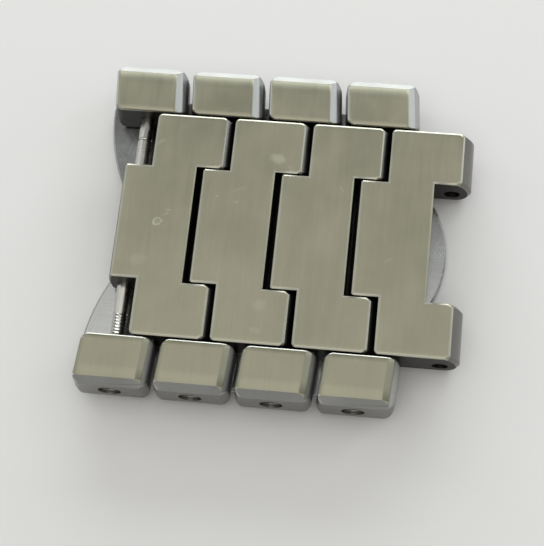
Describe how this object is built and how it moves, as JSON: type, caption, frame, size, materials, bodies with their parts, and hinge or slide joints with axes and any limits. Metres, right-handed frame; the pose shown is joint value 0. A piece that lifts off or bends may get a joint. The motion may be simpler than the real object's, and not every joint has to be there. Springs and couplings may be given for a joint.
{
  "type": "watch bracelet section",
  "caption": "Section of a stainless steel watch bracelet: interlocking centre links, brushed outer links, slotted link screws and a hinged folding leaf beneath",
  "frame": {"origin": "middle of the open bore at the right end, where the next link's screw passes", "axes": "+X along the bracelet towards the open bore's end, +Y along the screws to the far side, +Z out of the brushed top; the bracelet's middle plane is Y = 0"},
  "size_m": [0.0238, 0.0214, 0.0037],
  "materials": {
    "satin_links": "satin brushed across, polished edges",
    "polished_leaf": "polished",
    "screw_steel": "turned, bright",
    "pin_steel": "ground"
  },
  "bodies": {
    "leaf": {"leaf": "polished_leaf", "hinge_pin_far": "pin_steel", "hinge_pin_near": "pin_steel"},
    "link_1": {"centre_link_1": "satin_links", "outer_link_far_1": "satin_links", "outer_link_near_1": "satin_links", "link_screw_1": "screw_steel", "link_key_far_1": "pin_steel", "link_key_near_1": "pin_steel"},
    "link_2": {"centre_link_2": "satin_links", "outer_link_far_2": "satin_links", "outer_link_near_2": "satin_links", "link_screw_2": "screw_steel", "link_key_far_2": "pin_steel", "link_key_near_2": "pin_steel"},
    "link_3": {"centre_link_3": "satin_links", "outer_link_far_3": "satin_links", "outer_link_near_3": "satin_links", "link_screw_3": "screw_steel", "link_key_far_3": "pin_steel", "link_key_near_3": "pin_steel"},
    "link_4": {"centre_link_4": "satin_links", "outer_link_far_4": "satin_links", "outer_link_near_4": "satin_links", "link_screw_4": "screw_steel", "link_key_far_4": "pin_steel", "link_key_near_4": "pin_steel"}
  },
  "joints": [
    {"name": "leaf_hinge", "type": "hinge", "parent": "leaf", "child": "link_4", "pos_m": [0.0005, 0, -0.00165], "axis": [0, 1, 0], "range_deg": [0, 80]},
    {"name": "link_hinge_4", "type": "hinge", "parent": "link_4", "child": "link_3", "pos_m": [-0.005, 0, 0], "axis": [0, 1, 0], "range_deg": [0, 12]},
    {"name": "link_hinge_3", "type": "hinge", "parent": "link_3", "child": "link_2", "pos_m": [-0.01, 0, 0], "axis": [0, 1, 0], "range_deg": [0, 12]},
    {"name": "link_hinge_2", "type": "hinge", "parent": "link_2", "child": "link_1", "pos_m": [-0.015, 0, 0], "axis": [0, 1, 0], "range_deg": [0, 12]}
  ]
}
